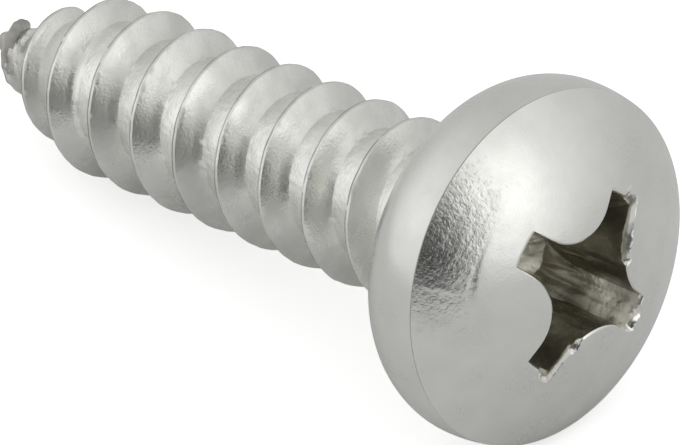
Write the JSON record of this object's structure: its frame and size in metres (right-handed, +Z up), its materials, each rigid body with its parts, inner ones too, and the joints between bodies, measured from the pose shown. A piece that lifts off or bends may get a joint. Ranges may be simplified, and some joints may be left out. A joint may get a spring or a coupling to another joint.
{
  "type": "sheet metal screw",
  "caption": "Pan head sheet metal screw with a cross recess, a coarse right-hand thread and a sharp point.",
  "frame": {"origin": "middle of the footprint, on the surface that the screw lies on", "axes": "+X from the point toward the head, +Z up, with the screw's axis in the XZ plane and falling toward the point"},
  "size_m": [0.0218, 0.0094, 0.0094],
  "materials": {
    "steel": "satin, as rolled and tumbled"
  },
  "bodies": {
    "root": {"screw": "steel"}
  },
  "joints": []
}
